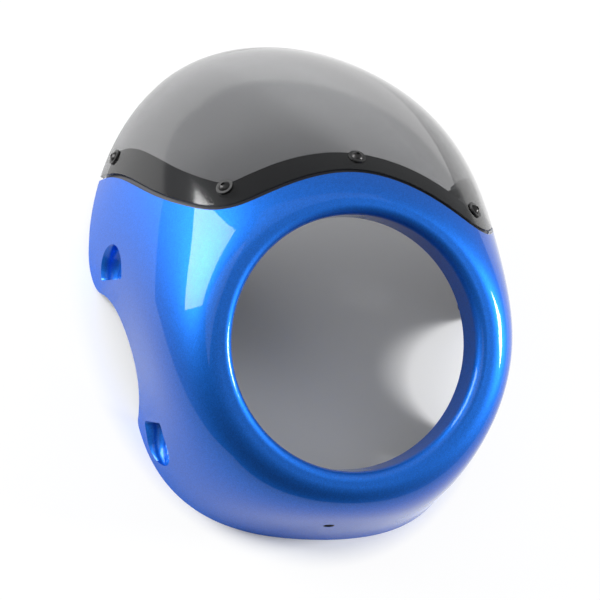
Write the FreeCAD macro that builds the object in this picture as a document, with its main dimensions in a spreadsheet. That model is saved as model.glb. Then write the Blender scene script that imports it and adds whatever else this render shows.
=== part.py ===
import FreeCAD, Part
import math
import os
from FreeCAD import Placement, Rotation, Vector

# Headlight fairing of a motorcycle with its windscreen. A moulded cowl wraps a round
# lamp opening, and a smoked bubble screen sits on a recessed ledge of the cowl, held
# by button-head screws, washers and rubber well nuts with brass inserts.
# It lies on its rear rim: +Z is the normal of the rim plane, +Y runs from the chin to
# the top of the screen, and X = 0 is the mirror plane. All sizes are millimetres.
# The outer surface is drawn over a draft plane, and the rim plane leans a little from it.

doc = FreeCAD.newDocument("headlight_fairing")
sheet = doc.addObject("Spreadsheet::Sheet", "sizes")

SIZES = {
    # Lamp opening: its axis leans from the normal of the draft plane by the rake angle.
    "rake_angle": 29.6,
    "opening_radius": 100,
    "opening_height": 163,
    "lip_radius": 8,
    "crest_flat": 3.8,
    "tunnel_depth": 31,
    "wall": 3.5,
    # Reach of the rear rim from the lamp axis, measured in the draft plane.
    "rim_chin": 187,
    "rim_side": 165,
    "rim_top": 309,
    "rim_jowl": 24,
    "rim_shoulder": -11,
    # How far the wall runs straight out from the crest of the lip.
    "crown_chin": 28,
    "crown_side": 50.6,
    "crown_top": 22.2,
    "crown_shoulder": -7,
    # How far the wall runs straight up from the rear rim, and how it leans inwards.
    "rise_chin": 30,
    "rise_side": 35,
    "rise_top": 134,
    "rise_shoulder": 48.5,
    "lean_side": 0.26,
    # Underside, measured from the chin along the rim plane: fork cut-outs and raised rear edge.
    "rim_tilt": 2.2,
    "fork_middle": 161,
    "fork_radius": 70.5,
    "fork_height": 35,
    "fork_near_corner": 9,
    "fork_far_corner": 25,
    "rear_start": 248,
    "rear_angle": 19,
    "rear_corner": 60,
    # Upper edge of the painted cowl: angle round the lamp axis and distance from the crest.
    "edge_peak": 28,
    "edge_brow_angle": 58,
    "edge_brow": 26,
    "edge_turn_angle": 41,
    "edge_turn": 40,
    "edge_cheek_angle": 34.5,
    "edge_cheek": 80,
    "edge_flank_angle": 34,
    "edge_flank": 150,
    "edge_corner_angle": 38,
    "edge_corner": 290,
    # Screen and the ledge under it, measured across the edge of the cowl.
    "screen_thickness": 3,
    "screen_gap": 4,
    "ledge_width": 29,
    "seat_gap": 1.9,
    # Screen fasteners.
    "screw_inset": 20,
    "screw_inner_inset": 25,
    "screw_inner_angle": 45.5,
    "screw_outer_distance": 240,
    "screw_radius": 2.5,
    "screw_length": 16,
    "head_radius": 4.75,
    "head_height": 2.75,
    "socket_radius": 1.75,
    "socket_depth": 1.6,
    "washer_radius": 7,
    "washer_thickness": 1.2,
    "screw_clearance": 0.25,
    "flange_radius": 7,
    "flange_thickness": 1.3,
    "seat_clearance": 0.3,
    "sleeve_radius": 4.75,
    "sleeve_clearance": 0.15,
    "sleeve_length": 12,
    "insert_radius": 3.6,
    "insert_length": 6,
    "insert_lip": 0.8,
    "thread_clearance": 0.05,
    # Side recesses for the fork brackets: flat end above or below the lamp axis, middle behind
    # the lip's crest, and floor beside the mirror plane. Then the hole in the chin.
    "upper_recess_up": 44,
    "upper_recess_back": 158,
    "upper_recess_floor": 160,
    "upper_recess_straight": 5,
    "upper_recess_width": 50,
    "lower_recess_up": -72,
    "lower_recess_back": 105.5,
    "lower_recess_floor": 124,
    "lower_recess_straight": 16.5,
    "lower_recess_width": 37,
    "recess_corner": 3,
    "bracket_hole_radius": 3.25,
    "drain_radius": 4.5,
    "drain_distance": 65,
}

for row, (alias, value) in enumerate(SIZES.items(), start=1):
    sheet.set(f"A{row}", alias)
    sheet.set(f"B{row}", str(value))
    sheet.setAlias(f"B{row}", alias)
doc.recompute()


def size(alias):
    return float(sheet.get(alias))


RAKE = math.radians(size("rake_angle"))
LAMP_CENTRE = Vector(0, 0, size("opening_height"))
LAMP_AXIS = Vector(0, -math.sin(RAKE), math.cos(RAKE))
LAMP_UP = Vector(0, math.cos(RAKE), math.sin(RAKE))
LAMP_PLACE = Placement(LAMP_CENTRE, Rotation(Vector(1, 0, 0), size("rake_angle")))
AXIS_FOOT = size("opening_height") * math.tan(RAKE)
RIM_PLACE = Placement(Vector(0, AXIS_FOOT - size("rim_chin"), 0), Rotation(Vector(1, 0, 0), size("rim_tilt")))
CREST_RADIUS = size("opening_radius") + size("lip_radius") + size("crest_flat")
WALL = size("wall")
LEDGE_OUTSIDE = size("screen_thickness") + size("seat_gap")
LEDGE_INSIDE = LEDGE_OUTSIDE + WALL
BEYOND = 2 * size("rim_top")

# Fineness of the lofted skin.
RING_POINTS = 28
RING_COUNT = 10
RING_SPACING = 1.5
BELOW_RIM = 12
SLOPE_STEP = 1e-3
MARCH_STEPS = 400


# The envelope: one smooth outer surface for cowl and screen together

def round_axis(up, name):
    """A size that changes smoothly round the lamp axis; up is the sine of the angle."""
    chin = size(name + "_chin")
    side = size(name + "_side")
    top = size(name + "_top")
    return side + (top - chin) / 2 * up + ((top + chin) / 2 - side) * up * up


def shoulder(up):
    return 2 * up * up * (1 - up * up) * (1 + up)


def jowl(up):
    return 2 * up * up * (1 - up * up) * (1 - up)


def meridian(angle):
    """Control points of the wall's curve from the lip's crest to the rear rim."""
    across = math.cos(angle)
    up = math.sin(angle)
    radial = Vector(across, 0, 0) + LAMP_UP * up
    crest = LAMP_CENTRE + radial * CREST_RADIUS
    reach = round_axis(up, "rim") + size("rim_jowl") * jowl(up) + size("rim_shoulder") * shoulder(up)
    rim = Vector(reach * across, AXIS_FOOT + reach * up, 0)
    crown = round_axis(up, "crown") + size("crown_shoulder") * shoulder(up)
    rise = round_axis(up, "rise") + size("rise_shoulder") * shoulder(up)
    lean = size("lean_side") * (1 - up * up)
    upright = Vector(-lean * across, -lean * up, 1).normalize()
    return crest, crest + radial * crown, rim + upright * rise, rim


def envelope(angle, t):
    first, second, third, last = meridian(angle)
    u = 1 - t
    return first * u**3 + second * (3 * u * u * t) + third * (3 * u * t * t) + last * t**3


def outward(angle, t):
    """Unit normal of the envelope, pointing out of the fairing."""
    around = envelope(angle + SLOPE_STEP, t) - envelope(angle - SLOPE_STEP, t)
    along = envelope(angle, t + SLOPE_STEP) - envelope(angle, t - SLOPE_STEP)
    return along.cross(around).normalize()


def at_distance(degrees, distance):
    """Angle and curve parameter of the point that lies this far from the crest along the wall."""
    angle = math.radians(degrees)
    walked = 0
    point = envelope(angle, 0)
    for step in range(1, MARCH_STEPS + 1):
        following = envelope(angle, step / MARCH_STEPS)
        stride = (following - point).Length
        if walked + stride >= distance:
            return angle, (step - 1 + (distance - walked) / stride) / MARCH_STEPS
        walked += stride
        point = following
    return angle, 1


def closed_curve(points):
    curve = Part.BSplineCurve()
    curve.interpolate(Points=points, PeriodicFlag=True)
    return Part.Wire([curve.toShape()])


def skin(offset):
    """Solid inside the envelope moved out by offset, carried on a little below the rim plane."""
    angles = [2 * math.pi * (k / RING_POINTS - 1 / 3) for k in range(RING_POINTS)]
    rings = []
    for ring in range(RING_COUNT + 1):
        t = (ring / RING_COUNT) ** RING_SPACING
        rings.append([envelope(a, t) + outward(a, t) * offset for a in angles])
    below = []
    for a, point in zip(angles, rings[-1]):
        third, last = meridian(a)[2:]
        down = last - third
        below.append(point + down * ((-BELOW_RIM - point.z) / down.z))
    rings.append(below)
    return Part.makeLoft([closed_curve(points) for points in rings], True, False)


OUTER_SKIN = skin(0)
HALF_SKIN = skin(-WALL / 2)


# The wavy upper edge of the painted cowl, and cones that cut along lines parallel to it

EDGE_STATIONS = [
    (90, size("edge_peak")),
    (size("edge_brow_angle"), size("edge_brow")),
    (size("edge_turn_angle"), size("edge_turn")),
    (size("edge_cheek_angle"), size("edge_cheek")),
    (size("edge_flank_angle"), size("edge_flank")),
    (size("edge_corner_angle"), size("edge_corner")),
]
EDGE_POINTS = 41


def edge_curve():
    """The cowl's upper edge from its right end over the brow to its left end."""
    right = [envelope(*at_distance(degrees, distance)) for degrees, distance in EDGE_STATIONS]
    left = [Vector(-p.x, p.y, p.z) for p in right[1:]]
    curve = Part.BSplineCurve()
    curve.interpolate(right[::-1] + left)
    return curve


def inward_from_edge(curve, parameter, point):
    """Direction along the surface from the cowl's edge into the screen."""
    heart = Vector(0, AXIS_FOOT, 0)
    tangent = curve.tangent(parameter)[0]
    return tangent.cross(point - heart).normalize()


def edge_cone(offset):
    """Cone through the line that lies offset beyond the cowl's edge, open to the screen's side."""
    curve = edge_curve()
    apex = Vector(0, 2 * AXIS_FOOT, -size("opening_height"))
    ceiling = 2 * size("opening_height")
    first = curve.FirstParameter
    last = curve.LastParameter
    line = []
    for k in range(EDGE_POINTS):
        parameter = first + (last - first) * k / (EDGE_POINTS - 1)
        point = curve.value(parameter)
        ray = point + inward_from_edge(curve, parameter, point) * offset - apex
        line.append(apex + ray * ((ceiling - apex.z) / ray.z))
    rounded = Part.BSplineCurve()
    rounded.interpolate(line)
    right, left = line[0], line[-1]
    back = Vector(0, 4 * BEYOND, 0)
    corners = [left, left + back, right + back, right]
    sides = [Part.makeLine(a, b) for a, b in zip(corners, corners[1:])]
    base = Part.Wire([rounded.toShape()] + sides)
    return Part.makeLoft([Part.Vertex(apex), base], True, True)


# Underside: flat rear rim, round fork cut-outs and the raised rear edge of the screen

def underside():
    """Prism across the whole width that trims everything below the rear edge."""
    radius = size("fork_radius")
    centre = Vector(0, size("fork_middle"), size("fork_height") - radius)

    def corner_arc(side, corner):
        reach = math.sqrt((radius + corner) ** 2 - (corner - centre.z) ** 2)
        middle = Vector(0, centre.y + side * reach, corner)
        foot = Vector(0, middle.y, 0)
        touch = centre + (middle - centre) * (radius / (radius + corner))
        between = (foot + touch - middle * 2).normalize() * corner
        return foot, middle + between, touch

    near = corner_arc(-1, size("fork_near_corner"))
    far = corner_arc(1, size("fork_far_corner"))
    crown = centre + Vector(0, 0, radius)
    slope = math.radians(size("rear_angle"))
    blend = size("rear_corner") * math.tan(slope / 2)
    start = Vector(0, size("rear_start"), 0)
    uphill = Vector(0, math.cos(slope), math.sin(slope))
    rear_in = start - Vector(0, blend, 0)
    rear_out = start + uphill * blend
    rear_mid = rear_in + Vector(0, math.sin(slope / 2), 1 - math.cos(slope / 2)) * size("rear_corner")
    rear_end = start + uphill * BEYOND
    front = Vector(0, -BEYOND, 0)
    deep = Vector(0, 0, -BEYOND)
    outline = [
        Part.makeLine(front, near[0]),
        Part.Arc(*near).toShape(),
        Part.Arc(near[2], crown, far[2]).toShape(),
        Part.Arc(*far[::-1]).toShape(),
        Part.makeLine(far[0], rear_in),
        Part.Arc(rear_in, rear_mid, rear_out).toShape(),
        Part.makeLine(rear_out, rear_end),
        Part.makeLine(rear_end, rear_end + deep),
        Part.makeLine(rear_end + deep, front + deep),
        Part.makeLine(front + deep, front),
    ]
    profile = Part.Face(Part.Wire(outline))
    profile.translate(Vector(-BEYOND, 0, 0))
    prism = profile.extrude(Vector(2 * BEYOND, 0, 0))
    prism.Placement = RIM_PLACE
    return prism


# Lamp opening: rounded lip and the tunnel wall behind it

def lamp_lip():
    radius = size("opening_radius")
    lip = size("lip_radius")
    depth = size("tunnel_depth")
    inner = lip - WALL
    half = math.sqrt(0.5)
    middle = Vector(radius + lip, 0, -lip)
    outer_top = middle + Vector(0, 0, lip)
    inner_top = middle + Vector(0, 0, inner)
    outer_side = middle - Vector(lip, 0, 0)
    inner_side = middle - Vector(inner, 0, 0)
    outer_end = Vector(radius, 0, -depth)
    inner_end = Vector(radius + WALL, 0, -depth)
    corner = Vector(-half, 0, half)
    outline = [
        Part.makeLine(outer_end, outer_side),
        Part.Arc(outer_side, middle + corner * lip, outer_top).toShape(),
        Part.makeLine(outer_top, inner_top),
        Part.Arc(inner_top, middle + corner * inner, inner_side).toShape(),
        Part.makeLine(inner_side, inner_end),
        Part.makeLine(inner_end, outer_end),
    ]
    ring = Part.Face(Part.Wire(outline)).revolve(Vector(0, 0, 0), Vector(0, 0, 1), 360)
    ring.Placement = LAMP_PLACE
    return ring


def lamp_bore():
    bore = Part.makeCylinder(size("opening_radius") + size("lip_radius"), 4 * WALL, Vector(0, 0, -2 * WALL))
    bore.Placement = LAMP_PLACE
    return bore


# Side recesses: flat towards the fork cut-out, round at the far end

def recess_prism(side, name, away, grow, start):
    """Recess outline grown by grow and drawn outwards from x = start on one side."""
    half = size(name + "_recess_width") / 2 + grow
    straight = size(name + "_recess_straight") + grow
    corner = size("recess_corner") + grow
    mid = math.sqrt(0.5) * corner
    flat = LAMP_CENTRE + LAMP_UP * (size(name + "_recess_up") - away * grow)
    flat += Vector(side * start, 0, 0) - LAMP_AXIS * size(name + "_recess_back")

    def place(along, forward):
        return flat + LAMP_UP * away * along + LAMP_AXIS * forward

    def rounded(sign):
        begin = place(corner, sign * half)
        bend = place(corner - mid, sign * (half - corner + mid))
        end = place(0, sign * (half - corner))
        return begin, bend, end

    front = rounded(1)
    rear = rounded(-1)
    outline = [
        Part.Arc(*front).toShape(),
        Part.makeLine(front[2], rear[2]),
        Part.Arc(*rear[::-1]).toShape(),
        Part.makeLine(rear[0], place(straight, -half)),
        Part.Arc(place(straight, -half), place(straight + half, 0), place(straight, half)).toShape(),
        Part.makeLine(place(straight, half), front[0]),
    ]
    return Part.Face(Part.Wire(outline)).extrude(Vector(side * BEYOND, 0, 0))


RECESSES = [(side, name, away) for side in (-1, 1) for name, away in (("upper", 1), ("lower", -1))]


def recess_boss(side, name, away):
    floor = size(name + "_recess_floor") - WALL
    return recess_prism(side, name, away, WALL, floor).common(HALF_SKIN)


def recess_pocket(side, name, away):
    return recess_prism(side, name, away, 0, size(name + "_recess_floor"))


def bracket_hole(side, name, away):
    length = size(name + "_recess_straight") + size(name + "_recess_width") / 2
    middle = size(name + "_recess_up") + away * length / 2
    base = LAMP_CENTRE + LAMP_UP * middle - LAMP_AXIS * size(name + "_recess_back")
    base += Vector(side * (size(name + "_recess_floor") - 2 * WALL), 0, 0)
    return Part.makeCylinder(size("bracket_hole_radius"), BEYOND, base, Vector(side, 0, 0))


def drain_hole():
    angle, t = at_distance(-90, size("drain_distance"))
    normal = outward(angle, t)
    return Part.makeCylinder(size("drain_radius"), 4 * WALL, envelope(angle, t) - normal * 3 * WALL, normal)


# Screen fasteners: places on the envelope and their frames

def fastener_spot(degrees, distance):
    """Frame on the screen's outer face with its Z axis out along the screw."""
    angle, t = at_distance(degrees, distance)
    outside = OUTER_SKIN.Shells[0]
    touches, details = outside.distToShape(Part.Vertex(envelope(angle, t)))[1:]
    seat = touches[0][0]
    normal = outside.Faces[details[0][1]].normalAt(*details[0][2])
    return Placement(seat, Rotation(Vector(0, 0, 1), normal))


def mirrored(degrees, distance):
    return fastener_spot(180 - degrees, distance)


def edge_distance(degrees):
    """Distance from the crest to the cowl's edge at an angle between its brow and its turn."""
    span = size("edge_brow_angle") - size("edge_turn_angle")
    share = (size("edge_brow_angle") - degrees) / span
    return size("edge_brow") + (size("edge_turn") - size("edge_brow")) * share**2


def outer_angle():
    """Angle of the outer screws, one inset above the flank of the cowl's edge."""
    distance = size("screw_outer_distance")
    share = (distance - size("edge_flank")) / (size("edge_corner") - size("edge_flank"))
    degrees = size("edge_flank_angle") + (size("edge_corner_angle") - size("edge_flank_angle")) * share
    point = envelope(*at_distance(degrees, distance))
    radius = math.hypot(point.x, point.y - AXIS_FOOT)
    return degrees + math.degrees(size("screw_inset") / radius)


INNER_ANGLE = size("screw_inner_angle")
INNER = (INNER_ANGLE, edge_distance(INNER_ANGLE) + size("screw_inner_inset"))
OUTER = (outer_angle(), size("screw_outer_distance"))
SPOTS = {
    "centre": fastener_spot(90, size("edge_peak") + size("screw_inset")),
    "right_inner": fastener_spot(*INNER),
    "left_inner": mirrored(*INNER),
    "right_outer": fastener_spot(*OUTER),
    "left_outer": mirrored(*OUTER),
}


def fastener_holes(radius):
    reach = 3 * LEDGE_INSIDE
    return [place_hole(spot, radius, reach) for spot in SPOTS.values()]


def place_hole(spot, radius, reach):
    hole = Part.makeCylinder(radius, 2 * reach, Vector(0, 0, -reach))
    hole.Placement = spot
    return hole


# Cowl and screen as finished solids

def cowl_shape(trim):
    wall = OUTER_SKIN.cut(skin(-WALL))
    ledge = HALF_SKIN.cut(skin(-LEDGE_INSIDE))
    ledge = ledge.common(edge_cone(-WALL)).cut(edge_cone(size("ledge_width")))
    step = edge_cone(0).cut(skin(-LEDGE_OUTSIDE))
    body = wall.fuse(ledge).cut(step)
    body = body.cut(lamp_bore()).fuse(lamp_lip())
    body = body.fuse([recess_boss(*recess) for recess in RECESSES])
    cuts = [recess_pocket(*recess) for recess in RECESSES]
    cuts += [bracket_hole(*recess) for recess in RECESSES]
    cuts += fastener_holes(size("sleeve_radius") + size("sleeve_clearance"))
    return body.cut(cuts + [drain_hole(), trim])


def screen_shape(trim):
    sheet_solid = OUTER_SKIN.cut(skin(-size("screen_thickness")))
    sheet_solid = sheet_solid.common(edge_cone(size("screen_gap")))
    return sheet_solid.cut(fastener_holes(size("screw_radius") + size("screw_clearance")) + [trim])


trim_solid = underside()
cowl_solid = cowl_shape(trim_solid)
screen_solid = screen_shape(trim_solid)

# The part is laid on its rim plane, and the origin is the middle of its footprint there.

def laid_box(solid):
    laid = solid.copy()
    laid.Placement = RIM_PLACE.inverse()
    return laid.optimalBoundingBox()


MIDDLE = (laid_box(cowl_solid).YMin + laid_box(screen_solid).YMax) / 2
TO_ORIGIN = Placement(Vector(0, -MIDDLE, 0), Rotation()).multiply(RIM_PLACE.inverse())


def solid_feature(label, shape):
    feature = doc.addObject("Part::Feature", label)
    feature.Label = label
    feature.Shape = shape
    feature.Placement = TO_ORIGIN
    return feature


parts = [solid_feature("fairing_shell", cowl_solid), solid_feature("windscreen", screen_solid)]


# Fasteners, drawn along the screw's own axis with z = 0 on the screen's outer face

def cylinder(name, radius, height, base):
    solid = doc.addObject("Part::Cylinder", name)
    solid.setExpression("Radius", radius)
    solid.setExpression("Height", height)
    solid.setExpression("Placement.Base.z", base)
    return solid


def joined(kind, name, base, tool):
    result = doc.addObject(kind, name)
    result.Base = base
    result.Tool = tool
    return result


def finished(label, result, spot):
    result.Label = label
    result.Placement = TO_ORIGIN.multiply(spot)
    parts.append(result)


def screen_washer(place, spot):
    disc = cylinder("washer_disc_" + place, "sizes.washer_radius", "sizes.washer_thickness", "0")
    bore = "sizes.screw_radius + sizes.screw_clearance"
    hole = cylinder("washer_hole_" + place, bore, "3 * sizes.washer_thickness", "-sizes.washer_thickness")
    finished("screen_washer_" + place, joined("Part::Cut", "washer_" + place, disc, hole), spot)


def screen_screw(place, spot):
    dome_radius = "(sizes.head_radius^2 + sizes.head_height^2) / (2 * sizes.head_height)"
    dome = doc.addObject("Part::Sphere", "head_dome_" + place)
    dome.setExpression("Radius", dome_radius)
    dome.setExpression("Placement.Base.z", f"sizes.washer_thickness + sizes.head_height - {dome_radius}")
    drum = cylinder("head_drum_" + place, "sizes.head_radius", "sizes.head_height", "sizes.washer_thickness")
    head = joined("Part::Common", "head_" + place, dome, drum)
    shank_base = "sizes.washer_thickness - sizes.screw_length"
    shank_length = "sizes.screw_length + sizes.head_height / 4"
    shank = cylinder("shank_" + place, "sizes.screw_radius", shank_length, shank_base)
    bolt = joined("Part::Fuse", "bolt_" + place, head, shank)
    socket = doc.addObject("Part::Prism", "socket_" + place)
    socket.Polygon = 6
    socket.setExpression("Circumradius", "sizes.socket_radius")
    socket.setExpression("Height", "2 * sizes.socket_depth")
    socket.setExpression("Placement.Base.z", "sizes.washer_thickness + sizes.head_height - sizes.socket_depth")
    finished("screen_screw_" + place, joined("Part::Cut", "screw_" + place, bolt, socket), spot)


FLANGE_TOP = "(-sizes.screen_thickness - sizes.seat_clearance)"
SLEEVE_END = f"({FLANGE_TOP} - sizes.flange_thickness - sizes.sleeve_length)"
INSERT_BASE = f"({SLEEVE_END} + sizes.insert_lip)"


def well_nut(place, spot):
    flange_base = f"{FLANGE_TOP} - sizes.flange_thickness"
    flange = cylinder("flange_" + place, "sizes.flange_radius", "sizes.flange_thickness", flange_base)
    sleeve_height = "sizes.sleeve_length + sizes.flange_thickness"
    sleeve = cylinder("sleeve_" + place, "sizes.sleeve_radius", sleeve_height, SLEEVE_END)
    body = joined("Part::Fuse", "nut_body_" + place, flange, sleeve)
    bore_radius = "sizes.screw_radius + sizes.screw_clearance"
    bore_base = f"{SLEEVE_END} - sizes.insert_lip"
    bore = cylinder("nut_bore_" + place, bore_radius, "2 * sizes.sleeve_length", bore_base)
    pocket = cylinder("nut_pocket_" + place, "sizes.insert_radius", "sizes.insert_length", INSERT_BASE)
    hollow = joined("Part::Fuse", "nut_hollow_" + place, bore, pocket)
    finished("well_nut_" + place, joined("Part::Cut", "nut_" + place, body, hollow), spot)


def well_nut_insert(place, spot):
    slug = cylinder("slug_" + place, "sizes.insert_radius", "sizes.insert_length", INSERT_BASE)
    thread = "sizes.screw_radius + sizes.thread_clearance"
    thread_base = f"{INSERT_BASE} - sizes.insert_lip"
    hole = cylinder("thread_" + place, thread, "2 * sizes.insert_length", thread_base)
    finished("well_nut_insert_" + place, joined("Part::Cut", "insert_" + place, slug, hole), spot)


for place, spot in SPOTS.items():
    screen_screw(place, spot)
    screen_washer(place, spot)
    well_nut(place, spot)
    well_nut_insert(place, spot)

doc.recompute()

for item in doc.Objects:
    if "Invalid" in item.State or "Error" in item.State:
        raise RuntimeError(f"{item.Name} failed: {item.State}")
for part in parts:
    if part.Shape.isNull() or not part.Shape.isValid():
        raise RuntimeError(f"{part.Label} has no valid shape")

os.makedirs("parts", exist_ok=True)
for part in parts:
    part.Shape.exportStep(f"parts/{part.Label}.step")
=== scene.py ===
import math

import bmesh
import bpy
import numpy as np
from mathutils import Matrix, Vector
from mathutils.kdtree import KDTree


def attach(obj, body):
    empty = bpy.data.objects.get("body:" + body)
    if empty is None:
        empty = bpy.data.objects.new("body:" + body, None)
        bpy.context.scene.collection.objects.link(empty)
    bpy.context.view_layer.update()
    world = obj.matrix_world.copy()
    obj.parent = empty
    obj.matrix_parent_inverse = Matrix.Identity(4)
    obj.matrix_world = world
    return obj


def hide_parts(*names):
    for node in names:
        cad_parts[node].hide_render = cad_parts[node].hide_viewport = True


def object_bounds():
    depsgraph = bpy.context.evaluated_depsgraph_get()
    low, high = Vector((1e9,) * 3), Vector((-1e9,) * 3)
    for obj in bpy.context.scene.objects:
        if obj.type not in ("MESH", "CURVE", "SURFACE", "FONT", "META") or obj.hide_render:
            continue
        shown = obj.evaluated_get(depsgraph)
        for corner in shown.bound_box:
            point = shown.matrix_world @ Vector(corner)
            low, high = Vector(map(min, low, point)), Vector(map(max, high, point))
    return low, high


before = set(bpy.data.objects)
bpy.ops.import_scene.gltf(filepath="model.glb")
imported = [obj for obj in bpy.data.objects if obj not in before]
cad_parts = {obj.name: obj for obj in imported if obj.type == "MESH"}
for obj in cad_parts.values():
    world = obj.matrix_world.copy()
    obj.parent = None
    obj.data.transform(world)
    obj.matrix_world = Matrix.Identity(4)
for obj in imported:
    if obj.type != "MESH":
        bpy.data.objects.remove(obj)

cad_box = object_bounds()
MM = 0.001

# Sizes of the smooth outer surface in millimetres, the same as those of the solid part.
RAKE = math.radians(29.6)
TILT = math.radians(2.2)
HEIGHT = 163.0
OPENING = 100.0
LIP = 8.0
LIP_FLAT = 3.8
CREST = OPENING + LIP + LIP_FLAT
WALL = 3.5
SCREEN = 3.0
SCREEN_GAP = 1.9
LEDGE = SCREEN + SCREEN_GAP
RIM = {"chin": 187, "side": 165, "top": 309}
CROWN = {"chin": 28, "side": 50.6, "top": 22.2}
RISE = {"chin": 30, "side": 35, "top": 134}
LEAN = 0.26
JOWL = 24
RIM_SHOULDER = -11
CROWN_SHOULDER = -7
RISE_SHOULDER = 48.5
AXIS_FOOT = HEIGHT * math.tan(RAKE)
CHIN = AXIS_FOOT - RIM["chin"]
# From the foot of the chin to the middle of the footprint.
MIDDLE = 223.735

# Search for the nearest point of that surface: first grid, rounds, and limits of each round's steps.
ANGLES, LENGTHS = 180, 40
ROUNDS = 8
STEP = 1e-4
LONGEST_TURN, LONGEST_MOVE = 0.05, 0.03
T_RANGE = (-0.02, 1.05)
LEAST_DIVISOR = 1e-9

# Limits for laying a face on a surface: two in millimetres, a cosine, and an area in square metres.
SLACK = 0.1
SNAP = 0.3
ALIGNED = 0.8
SLIVER = 1e-10
# Edges that stay sharp, and gaps in metres that are closed.
SHARP_EDGE = math.radians(32)
WELD = 2e-6

# Drilled holes in millimetres: places, the reach of their walls, and that of the recesses round them.
DRAIN = (0, -228.1, 47.07)
DRAIN_AXIS = (0, -0.986, -0.167)
DRAIN_REACH = 5.2
UPPER_BRACKET = (158.25, 1.95, 46.13)
LOWER_BRACKET = (122.25, -154.05, 24.4)
BRACKET_REACH = 3.72
RECESS = 40
FACES_OUT = 0.5


def laid(points):
    """Points drawn over the draft plane, laid on the rim plane and moved to the part's origin."""
    x, y, z = points[..., 0], points[..., 1] - CHIN, points[..., 2]
    across = y * math.cos(TILT) + z * math.sin(TILT) - MIDDLE
    above = z * math.cos(TILT) - y * math.sin(TILT)
    return np.stack([x, across, above], -1)


LAMP_AXIS = np.array([0, -math.sin(RAKE - TILT), math.cos(RAKE - TILT)])
LAMP_CENTRE = laid(np.array([0, 0, HEIGHT]))


# The outer surface of cowl and screen: angle round the lamp axis, t from lip crest to rear rim

def round_axis(up, sizes):
    chin, side, top = sizes["chin"], sizes["side"], sizes["top"]
    return side + (top - chin) / 2 * up + ((top + chin) / 2 - side) * up * up


def envelope(angle, t):
    across, up = np.cos(angle), np.sin(angle)
    zero = np.zeros_like(across)
    shoulder = 2 * up**2 * (1 - up**2) * (1 + up)
    jowl = 2 * up**2 * (1 - up**2) * (1 - up)
    radial = np.stack([across, up * math.cos(RAKE), up * math.sin(RAKE)], -1)
    first = radial * CREST + np.array([0, 0, HEIGHT])
    reach = round_axis(up, RIM) + JOWL * jowl + RIM_SHOULDER * shoulder
    last = np.stack([reach * across, AXIS_FOOT + reach * up, zero], -1)
    crown = round_axis(up, CROWN) + CROWN_SHOULDER * shoulder
    rise = round_axis(up, RISE) + RISE_SHOULDER * shoulder
    lean = LEAN * (1 - up**2)
    upright = np.stack([-lean * across, -lean * up, zero + 1], -1)
    upright /= np.linalg.norm(upright, axis=-1, keepdims=True)
    second = first + radial * crown[..., None]
    third = last + upright * rise[..., None]
    t = t[..., None]
    u = 1 - t
    point = first * u**3 + second * (3 * u * u * t) + third * (3 * u * t * t) + last * t**3
    return laid(point)


def slopes(angle, t):
    """How the surface runs round the lamp axis and from lip to rim."""
    around = envelope(angle + STEP, t) - envelope(angle - STEP, t)
    along = envelope(angle, t + STEP) - envelope(angle, t - STEP)
    return around / (2 * STEP), along / (2 * STEP)


def outward(angle, t):
    around, along = slopes(angle, t)
    normal = np.cross(along, around)
    return normal / np.linalg.norm(normal, axis=-1, keepdims=True)


def locate(points):
    """Angle, t and normal of the envelope's nearest point for each point."""
    turns = np.linspace(-math.pi, math.pi, ANGLES, endpoint=False)
    angles, ts = np.meshgrid(turns, np.linspace(0, 1, LENGTHS), indexing="ij")
    angles, ts = angles.ravel(), ts.ravel()
    grid = envelope(angles, ts)
    tree = KDTree(len(grid))
    for k, p in enumerate(grid):
        tree.insert(p, k)
    tree.balance()
    nearest = np.array([tree.find(p)[1] for p in points])
    angle, t = angles[nearest], ts[nearest]
    for _ in range(ROUNDS):
        gap = points - envelope(angle, t)
        around, along = slopes(angle, t)
        aa, ab, bb = (around**2).sum(-1), (around * along).sum(-1), (along**2).sum(-1)
        ga, gb = (gap * around).sum(-1), (gap * along).sum(-1)
        det = np.maximum(aa * bb - ab * ab, LEAST_DIVISOR)
        angle += np.clip((ga * bb - gb * ab) / det, -LONGEST_TURN, LONGEST_TURN)
        t += np.clip((gb * aa - ga * ab) / det, -LONGEST_MOVE, LONGEST_MOVE)
        t = np.clip(t, *T_RANGE)
    return angle, t, outward(angle, t)


# Smooth copies of the two moulded pieces: CAD mesh, refined and laid on the exact surfaces

def split_mesh(node, name):
    """Welded copy of a node's mesh, all triangles, with every edge cut in two."""
    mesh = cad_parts[node].data.copy()
    mesh.name = name
    work = bmesh.new()
    work.from_mesh(mesh)
    bmesh.ops.remove_doubles(work, verts=work.verts, dist=WELD)
    bmesh.ops.triangulate(work, faces=work.faces)
    bmesh.ops.subdivide_edges(work, edges=work.edges, cuts=1, use_grid_fill=True)
    bmesh.ops.triangulate(work, faces=work.faces)
    work.to_mesh(mesh)
    work.free()
    return mesh


def read(items, attribute, kind, width):
    values = np.empty(len(items) * width, kind)
    items.foreach_get(attribute, values)
    return values.reshape(-1, width) if width > 1 else values


def envelope_surfaces(points, levels):
    """Target point, normal and finish for each offset of the outer surface."""
    angle, t, normal = locate(points)
    base = envelope(angle, t)
    for level, side, bare in levels:
        yield base + normal * level, normal * side, bare


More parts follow.
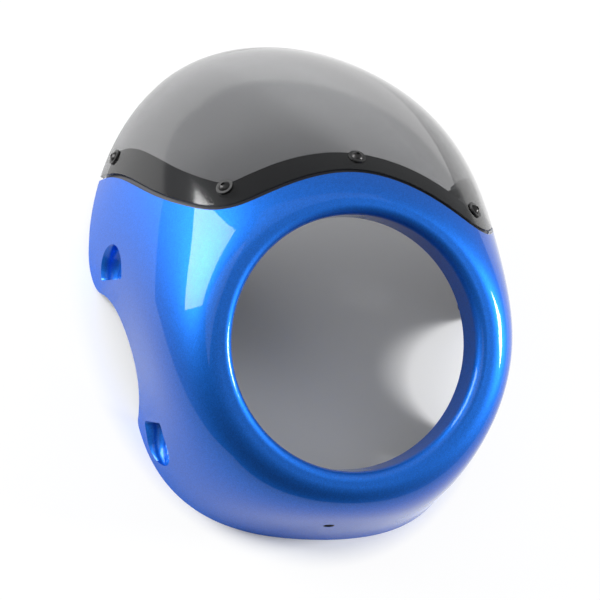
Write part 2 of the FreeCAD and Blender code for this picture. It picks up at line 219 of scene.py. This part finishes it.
def lip_surfaces(points):
    """Target point, normal and finish on the rolled lip, its flat crest and the tunnel behind it."""
    along = (points - LAMP_CENTRE) @ LAMP_AXIS
    radial = points - LAMP_CENTRE - along[:, None] * LAMP_AXIS
    reach = np.linalg.norm(radial, axis=1)
    radial /= np.maximum(reach, 1)[:, None]
    middle = points - radial * (reach - OPENING - LIP)[:, None] - LAMP_AXIS * (along + LIP)[:, None]
    bend = points - middle
    bend /= np.maximum(np.linalg.norm(bend, axis=1), 1)[:, None]
    rolled = (along > -LIP - SLACK) & (reach < OPENING + LIP + SLACK)
    behind = along < -LIP + SLACK
    crest = (along > -WALL - SLACK) & (reach > OPENING + LIP - SLACK) & (reach < CREST + SLACK)
    axis = np.broadcast_to(LAMP_AXIS, points.shape)
    for depth, side in ((0, 1), (WALL, -1)):
        for region, target, normal in (
            (rolled, middle + bend * (LIP - depth), bend),
            (behind, points + radial * (OPENING + depth - reach)[:, None], -radial),
            (crest, points - axis * (along + depth)[:, None], axis),
        ):
            yield np.where(region[:, None], target, np.inf), normal * side, side < 0


def unpainted_faces(points, corners, flat, outer, holes):
    """Flags for the faces deeper than the wall and in drilled holes, but not in the recesses."""
    base, normal, _ = outer
    depth = ((points - base) * normal).sum(1)
    unpainted = (depth[corners] < SLACK - WALL).all(1)
    for hole, axis, reach in holes:
        spread = points[corners].mean(1) - hole
        across = spread - np.outer(spread @ axis, axis)
        near = np.abs(spread).max(1) < RECESS
        open_to_view = ((across * flat).sum(1) < 0) | (flat @ axis > FACES_OUT)
        unpainted[near & open_to_view] = False
        unpainted[np.linalg.norm(spread, axis=1) < reach] = True
    return unpainted


def refined(node, name, levels, lip=False, holes=()):
    """Smooth copy of a node, and a flag for each face that is left bare."""
    mesh = split_mesh(node, name)
    points = read(mesh.vertices, "co", np.float32, 3).astype(float) / MM
    corners = read(mesh.loops, "vertex_index", np.int32, 1).reshape(-1, 3)
    flat = read(mesh.polygons, "normal", np.float32, 3).astype(float)
    area = read(mesh.polygons, "area", np.float32, 1)
    mesh.shade_smooth()
    mesh.set_sharp_from_angle(angle=SHARP_EDGE)
    shading = read(mesh.corner_normals, "vector", np.float32, 3).reshape(-1, 3, 3)
    surfaces = list(envelope_surfaces(points, levels))
    if lip:
        surfaces += list(lip_surfaces(points))
    moved = points.copy()
    unpainted = unpainted_faces(points, corners, flat, surfaces[0], holes)
    for target, normal, bare in surfaces:
        fits = np.linalg.norm(target - points, axis=1) < SNAP
        facing = (normal[corners] * flat[:, None]).sum(-1).min(1) > ALIGNED
        on_it = fits[corners].all(1) & (facing | (area < SLIVER))
        chosen = corners[on_it]
        moved[chosen] = target[chosen]
        shading[on_it] = normal[chosen]
        unpainted[on_it] = bare
    inside_box = (moved * MM).clip(*cad_box)
    mesh.vertices.foreach_set("co", inside_box.astype(np.float32).ravel())
    mesh.normals_split_custom_set(shading.reshape(-1, 3).tolist())
    piece = bpy.data.objects.new(name, mesh)
    bpy.context.scene.collection.objects.link(piece)
    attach(piece, "root")
    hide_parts(node)
    return piece, unpainted


# Offset of each surface from the envelope, the way it faces, and whether it is bare plastic.
COWL_LEVELS = [(0, 1, False), (-WALL, -1, True), (-LEDGE, 1, True), (-LEDGE - WALL, -1, True)]
SCREEN_LEVELS = [(0, 1, False), (-SCREEN, -1, False)]
# Middle, outward axis and reach of each drilled hole.
HOLES = [(np.array(DRAIN), np.array(DRAIN_AXIS), DRAIN_REACH)]
for side in (1, -1):
    for x, y, z in (UPPER_BRACKET, LOWER_BRACKET):
        HOLES.append((np.array([side * x, y, z]), np.array([side, 0, 0]), BRACKET_REACH))
cowl, cowl_bare = refined("fairing_shell", "cowl_smooth", COWL_LEVELS, lip=True, holes=HOLES)
screen, _ = refined("windscreen", "screen_smooth", SCREEN_LEVELS)


# Materials

def material(name):
    mat = bpy.data.materials.new(name)
    mat.use_nodes = True
    nodes = mat.node_tree.nodes
    return mat, nodes, mat.node_tree.links, nodes["Principled BSDF"]


def put_on(obj, *mats):
    obj.data.materials.clear()
    for mat in mats:
        obj.data.materials.append(mat)


def paint():
    """Metallic flakes under a clear coat."""
    mat, nodes, links, shader = material("candy blue paint")
    shader.inputs["Metallic"].default_value = 0.9
    shader.inputs["Roughness"].default_value = 0.52
    shader.inputs["Specular Tint"].default_value = (0.06, 0.2, 0.4, 1)
    shader.inputs["Coat Weight"].default_value = 1.0
    shader.inputs["Coat Roughness"].default_value = 0.03
    shader.inputs["Coat IOR"].default_value = 1.34
    place = nodes.new("ShaderNodeTexCoord")
    flakes = nodes.new("ShaderNodeTexVoronoi")
    flakes.inputs["Scale"].default_value = 1500
    links.new(place.outputs["Object"], flakes.inputs["Vector"])
    tint = nodes.new("ShaderNodeValToRGB")
    tint.color_ramp.elements[0].color = (0.009, 0.12, 0.52, 1)
    tint.color_ramp.elements[1].color = (0.014, 0.18, 0.76, 1)
    links.new(flakes.outputs["Color"], tint.inputs["Fac"])
    links.new(tint.outputs["Color"], shader.inputs["Base Color"])
    tilt = nodes.new("ShaderNodeBump")
    tilt.inputs["Strength"].default_value = 0.05
    tilt.inputs["Distance"].default_value = 0.0002
    links.new(flakes.outputs["Distance"], tilt.inputs["Height"])
    links.new(tilt.outputs["Normal"], shader.inputs["Normal"])
    return mat


def acrylic():
    """Smoked sheet that darkens at each face and is glossy outside."""
    mat, nodes, links, shader = material("smoked acrylic")
    nodes.remove(shader)
    out = nodes["Material Output"]
    body = nodes.new("ShaderNodeBsdfTransparent")
    body.inputs["Color"].default_value = (0.495, 0.495, 0.5, 1)
    gloss = nodes.new("ShaderNodeBsdfGlossy")
    gloss.inputs["Roughness"].default_value = 0.12
    gloss.inputs["Color"].default_value = (1, 1, 1, 1)
    edge = nodes.new("ShaderNodeFresnel")
    edge.inputs["IOR"].default_value = 1.49
    mix = nodes.new("ShaderNodeMixShader")
    links.new(edge.outputs["Fac"], mix.inputs["Fac"])
    links.new(body.outputs["BSDF"], mix.inputs[1])
    links.new(gloss.outputs["BSDF"], mix.inputs[2])
    inner_face = nodes.new("ShaderNodeMixShader")
    side = nodes.new("ShaderNodeNewGeometry")
    links.new(side.outputs["Backfacing"], inner_face.inputs["Fac"])
    links.new(mix.outputs["Shader"], inner_face.inputs[1])
    links.new(body.outputs["BSDF"], inner_face.inputs[2])
    links.new(inner_face.outputs["Shader"], out.inputs["Surface"])
    return mat


def plain(name, color, roughness, metallic=0.0, grain=0.2):
    """Finish with a fine speckle; grain is how far the colour strays."""
    mat, nodes, links, shader = material(name)
    shader.inputs["Metallic"].default_value = metallic
    shader.inputs["Roughness"].default_value = roughness
    place = nodes.new("ShaderNodeTexCoord")
    speckle = nodes.new("ShaderNodeTexNoise")
    speckle.inputs["Scale"].default_value = 900
    links.new(place.outputs["Object"], speckle.inputs["Vector"])
    tint = nodes.new("ShaderNodeValToRGB")
    tint.color_ramp.elements[0].color = tuple(c * (1 - grain) for c in color) + (1,)
    tint.color_ramp.elements[1].color = tuple(c * (1 + grain) for c in color) + (1,)
    links.new(speckle.outputs["Fac"], tint.inputs["Fac"])
    links.new(tint.outputs["Color"], shader.inputs["Base Color"])
    return mat


put_on(cowl, paint(), plain("bare plastic inside", (0.04, 0.04, 0.045), roughness=0.5))
cowl.data.polygons.foreach_set("material_index", cowl_bare.astype(np.int32))
put_on(screen, acrylic())
# Finish by the first part of a node's name; the longer of two like names comes first.
finishes = {
    "screen_screw": plain("black oxide steel", (0.035, 0.034, 0.034), roughness=0.35, metallic=0.8),
    "screen_washer": plain("black nylon", (0.02, 0.02, 0.02), roughness=0.45),
    "well_nut_insert": plain("brass", (0.72, 0.52, 0.22), roughness=0.3, metallic=1.0, grain=0.1),
    "well_nut": plain("rubber", (0.02, 0.02, 0.02), roughness=0.7),
}
for name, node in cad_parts.items():
    for stem, mat in finishes.items():
        if name.startswith(stem):
            put_on(node, mat)
            break


# Table, world, lamps and camera: places in metres, the lens in millimetres

TABLE_EDGE = [(-0.265, -0.42), (1.1, -0.42), (1.1, 1.3), (-0.45, 1.3), (-0.45, 0.3), (-0.265, 0)]
# Oval round the part where the table shows shade, and the gradient's values across its edge.
SHADE_WIDTH, SHADE_LENGTH = 0.37, 0.5
SHADE_SHIFT = -0.04
SHADE_INNER, SHADE_OUTER = 0.5, 0.46
LAMP_AIM = Vector((0, 0, 0.1))
TO_PHOTOGRAPHER = Vector((-0.3, -0.95, 0.1))
CAMERA_PLACE = Vector((-0.385388, -0.674734, 1.152848))
CAMERA_RIGHT = Vector((0.95665, -0.08189, 0.27950))
CAMERA_BACK = Vector((-0.28307, -0.48726, 0.82610))
FOCAL_LENGTH, SENSOR_WIDTH = 92.88, 36

scene = bpy.context.scene
scene.view_settings.view_transform = "Standard"


def table_material():
    """White board; away from the part it shows as plain white, close to it as it is lit."""
    mat, nodes, links, shader = material("white board")
    shader.inputs["Base Color"].default_value = (0.95, 0.95, 0.95, 1)
    shader.inputs["Roughness"].default_value = 0.9
    shader.inputs["Specular IOR Level"].default_value = 0.0
    place = nodes.new("ShaderNodeTexCoord")
    footprint = nodes.new("ShaderNodeMapping")
    footprint.inputs["Scale"].default_value = (1 / SHADE_WIDTH, 1 / SHADE_LENGTH, 0)
    footprint.inputs["Location"].default_value = (0, SHADE_SHIFT, 0)
    links.new(place.outputs["Object"], footprint.inputs["Vector"])
    ball = nodes.new("ShaderNodeTexGradient")
    ball.gradient_type = "SPHERICAL"
    links.new(footprint.outputs["Vector"], ball.inputs["Vector"])
    lift = nodes.new("ShaderNodeValToRGB")
    lift.color_ramp.elements[0].position = SHADE_OUTER
    lift.color_ramp.elements[0].color = (0.9, 0.9, 0.9, 1)
    lift.color_ramp.elements[1].position = SHADE_INNER
    lift.color_ramp.elements[1].color = (0, 0, 0, 1)
    links.new(ball.outputs["Fac"], lift.inputs["Fac"])
    path = nodes.new("ShaderNodeLightPath")
    seen = nodes.new("ShaderNodeMath")
    seen.operation = "MAXIMUM"
    links.new(path.outputs["Is Camera Ray"], seen.inputs[0])
    links.new(path.outputs["Is Glossy Ray"], seen.inputs[1])
    shown = nodes.new("ShaderNodeMath")
    shown.operation = "MAXIMUM"
    links.new(seen.outputs["Value"], shown.inputs[0])
    links.new(path.outputs["Is Transmission Ray"], shown.inputs[1])
    amount = nodes.new("ShaderNodeMath")
    amount.operation = "MULTIPLY"
    links.new(lift.outputs["Color"], amount.inputs[0])
    links.new(shown.outputs["Value"], amount.inputs[1])
    white = nodes.new("ShaderNodeEmission")
    white.inputs["Color"].default_value = (1, 1, 1, 1)
    white.inputs["Strength"].default_value = 1.0
    mix = nodes.new("ShaderNodeMixShader")
    links.new(amount.outputs["Value"], mix.inputs["Fac"])
    links.new(shader.outputs["BSDF"], mix.inputs[1])
    links.new(white.outputs["Emission"], mix.inputs[2])
    links.new(mix.outputs["Shader"], nodes["Material Output"].inputs["Surface"])
    return mat


def table():
    mesh = bpy.data.meshes.new("table")
    mesh.from_pydata([(x, y, 0) for x, y in TABLE_EDGE], [], [range(len(TABLE_EDGE))])
    top = bpy.data.objects.new("table", mesh)
    put_on(top, table_material())
    scene.collection.objects.link(top)


def room():
    """Bright studio all round, darker towards the front where the photographer stands."""
    world = bpy.data.worlds.new("room")
    scene.world = world
    world.use_nodes = True
    nodes, links = world.node_tree.nodes, world.node_tree.links
    place = nodes.new("ShaderNodeTexCoord")
    towards = nodes.new("ShaderNodeVectorMath")
    towards.operation = "DOT_PRODUCT"
    towards.inputs[1].default_value = TO_PHOTOGRAPHER.normalized()
    links.new(place.outputs["Generated"], towards.inputs[0])
    shade = nodes.new("ShaderNodeValToRGB")
    shade.color_ramp.elements[0].position = 0.3
    shade.color_ramp.elements[0].color = (0.42, 0.43, 0.44, 1)
    shade.color_ramp.elements[1].position = 0.8
    shade.color_ramp.elements[1].color = (0.1, 0.1, 0.11, 1)
    links.new(towards.outputs["Value"], shade.inputs["Fac"])
    links.new(shade.outputs["Color"], nodes["Background"].inputs["Color"])


def softbox(name, azimuth, elevation, distance, size, power, roll=0):
    """Lamp that looks at the part; azimuth 0 is the front and 90 the right side."""
    turn, rise = math.radians(azimuth), math.radians(elevation)
    ray = Vector((math.sin(turn) * math.cos(rise), -math.cos(turn) * math.cos(rise), math.sin(rise)))
    data = bpy.data.lights.new(name, "AREA")
    data.shape = "RECTANGLE"
    data.size, data.size_y = size
    data.energy = power
    lamp = bpy.data.objects.new(name, data)
    lamp.location = ray * distance + LAMP_AIM
    lamp.rotation_euler = (-ray).to_track_quat("-Z", "Y").to_euler()
    lamp.rotation_euler.rotate_axis("Z", math.radians(roll))
    scene.collection.objects.link(lamp)


def camera():
    lens = bpy.data.cameras.new("camera")
    lens.lens = FOCAL_LENGTH
    lens.sensor_width = SENSOR_WIDTH
    back = CAMERA_BACK.normalized()
    right = (CAMERA_RIGHT - back * CAMERA_RIGHT.dot(back)).normalized()
    turn = Matrix((right, back.cross(right), back)).transposed()
    eye = bpy.data.objects.new("camera", lens)
    eye.matrix_world = Matrix.Translation(CAMERA_PLACE) @ turn.to_4x4()
    scene.collection.objects.link(eye)
    scene.camera = eye


table()
room()
softbox("window", azimuth=-112, elevation=18, distance=1.5, size=(1.0, 1.1), power=35, roll=-15)
softbox("fill", azimuth=-62, elevation=58, distance=1.6, size=(0.9, 0.9), power=2.5)
softbox("key", azimuth=82, elevation=25, distance=1.8, size=(0.5, 0.4), power=31)
softbox("ceiling", azimuth=180, elevation=76, distance=1.6, size=(1.4, 1.2), power=2)
camera()

bpy.context.view_layer.update()
